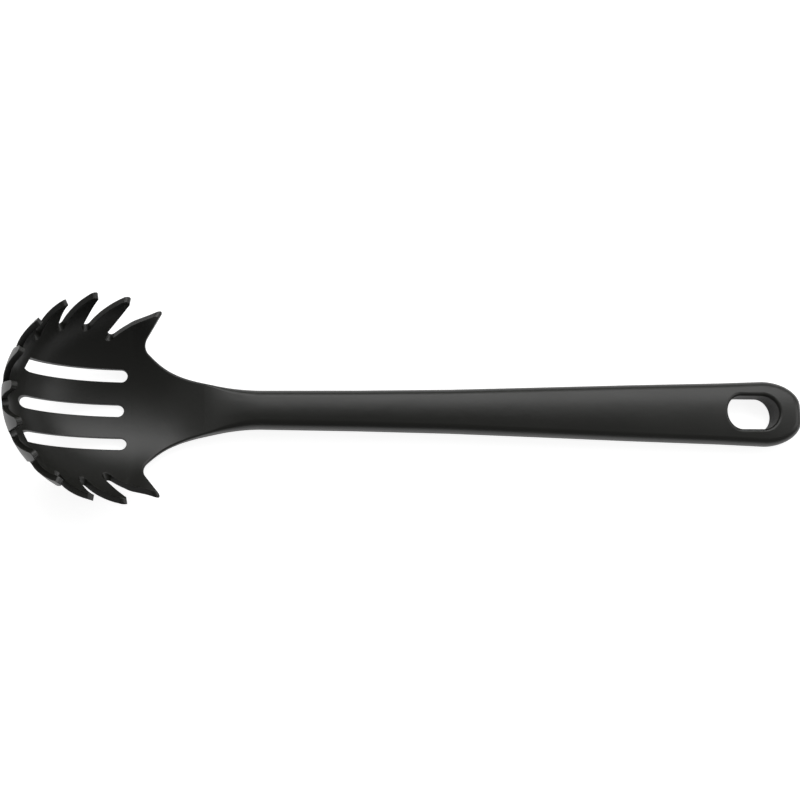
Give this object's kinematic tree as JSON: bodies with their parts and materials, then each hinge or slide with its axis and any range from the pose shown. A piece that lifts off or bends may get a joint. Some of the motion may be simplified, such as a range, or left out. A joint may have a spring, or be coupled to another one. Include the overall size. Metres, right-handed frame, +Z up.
{
  "type": "pasta server",
  "caption": "Moulded black nylon pasta server with a slotted, toothed bowl and a rounded handle with a hanging hole.",
  "frame": {"origin": "centre of the bounding box, on the table that the tool lies on", "axes": "+X from the bowl to the handle's end, +Y across the tool, +Z up out of the bowl"},
  "size_m": [0.3038, 0.0748, 0.0467],
  "materials": {
    "black_nylon": "matte"
  },
  "bodies": {
    "root": {"head": "black_nylon", "handle_upper_shell": "black_nylon", "handle_lower_shell": "black_nylon"}
  },
  "joints": []
}
